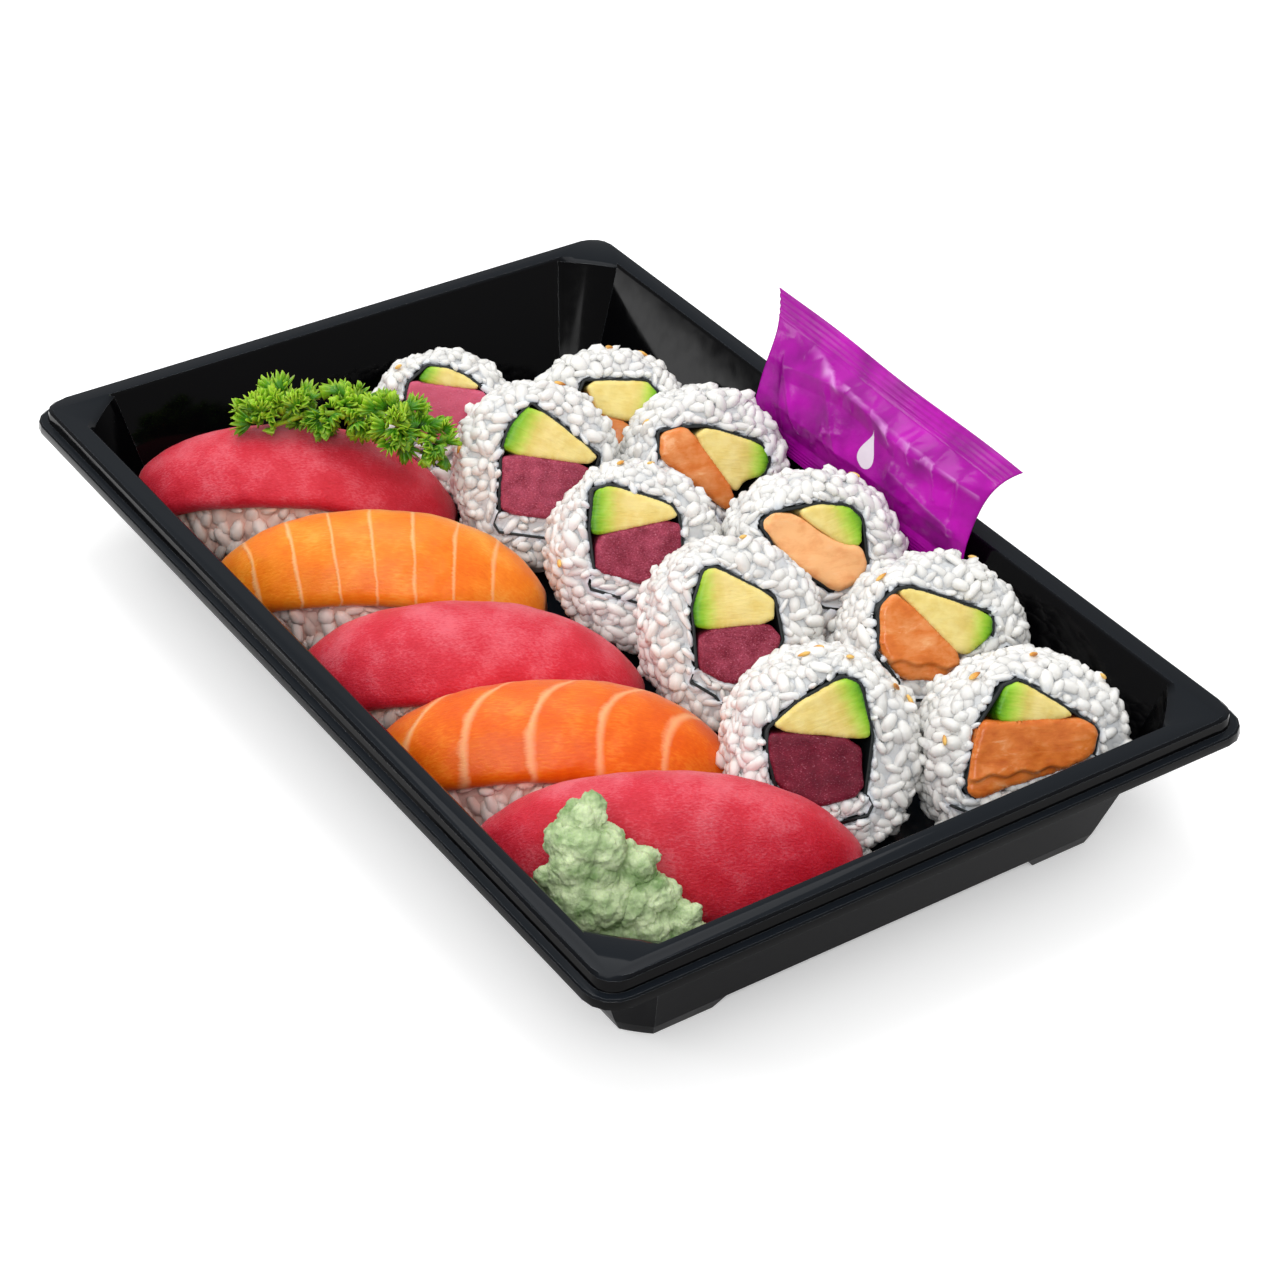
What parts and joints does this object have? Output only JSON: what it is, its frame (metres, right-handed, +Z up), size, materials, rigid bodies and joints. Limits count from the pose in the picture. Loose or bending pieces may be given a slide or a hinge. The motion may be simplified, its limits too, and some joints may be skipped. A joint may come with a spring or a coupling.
{
  "type": "takeaway sushi tray",
  "caption": "Shallow black rectangular takeaway tray on corner feet, filled with nigiri, inside-out rolls, wasabi, parsley and a soy sachet leaning over one long side.",
  "frame": {"origin": "under the middle of the tray, on the plane that its feet stand on", "axes": "+Z up, Y along the tray's long side with -Y the front short side, +X towards the long side where the sachet leans"},
  "size_m": [0.1754, 0.268, 0.0627],
  "materials": {
    "tray": "glossy black thermoformed sheet",
    "rice": "cooked short-grain rice",
    "nori": "dried seaweed sheet",
    "tuna": "raw tuna slice",
    "tuna_cut": "raw tuna block, cut across",
    "salmon": "raw salmon slice",
    "salmon_cut": "raw salmon, cut across",
    "avocado": "ripe avocado flesh, green at the skin side",
    "wasabi": "grated paste",
    "parsley": "fresh curly leaf",
    "sachet": "printed laminated film"
  },
  "bodies": {
    "root": {"tray": "tray", "wasabi": "wasabi", "parsley_sprig": "parsley", "soy_sachet": "sachet", "nigiri_1_rice": "rice", "nigiri_1_tuna": "tuna", "nigiri_2_rice": "rice", "nigiri_2_salmon": "salmon", "nigiri_3_rice": "rice", "nigiri_3_tuna": "tuna", "nigiri_4_rice": "rice", "nigiri_4_salmon": "salmon", "nigiri_5_rice": "rice", "nigiri_5_tuna": "tuna", "tuna_roll_1_rice": "rice", "tuna_roll_1_nori": "nori", "tuna_roll_1_avocado": "avocado", "tuna_roll_1_tuna": "tuna_cut", "salmon_roll_1_rice": "rice", "salmon_roll_1_nori": "nori", "salmon_roll_1_avocado": "avocado", "salmon_roll_1_salmon": "salmon_cut", "tuna_roll_2_rice": "rice", "tuna_roll_2_nori": "nori", "tuna_roll_2_avocado": "avocado", "tuna_roll_2_tuna": "tuna_cut", "salmon_roll_2_rice": "rice", "salmon_roll_2_nori": "nori", "salmon_roll_2_avocado": "avocado", "salmon_roll_2_salmon": "salmon_cut", "tuna_roll_3_rice": "rice", "tuna_roll_3_nori": "nori", "tuna_roll_3_avocado": "avocado", "tuna_roll_3_tuna": "tuna_cut", "salmon_roll_3_rice": "rice", "salmon_roll_3_nori": "nori", "salmon_roll_3_avocado": "avocado", "salmon_roll_3_salmon": "salmon_cut", "tuna_roll_4_rice": "rice", "tuna_roll_4_nori": "nori", "tuna_roll_4_avocado": "avocado", "tuna_roll_4_tuna": "tuna_cut", "salmon_roll_4_rice": "rice", "salmon_roll_4_nori": "nori", "salmon_roll_4_avocado": "avocado", "salmon_roll_4_salmon": "salmon_cut", "tuna_roll_5_rice": "rice", "tuna_roll_5_nori": "nori", "tuna_roll_5_avocado": "avocado", "tuna_roll_5_tuna": "tuna_cut", "salmon_roll_5_rice": "rice", "salmon_roll_5_nori": "nori", "salmon_roll_5_avocado": "avocado", "salmon_roll_5_salmon": "salmon_cut"}
  },
  "joints": []
}
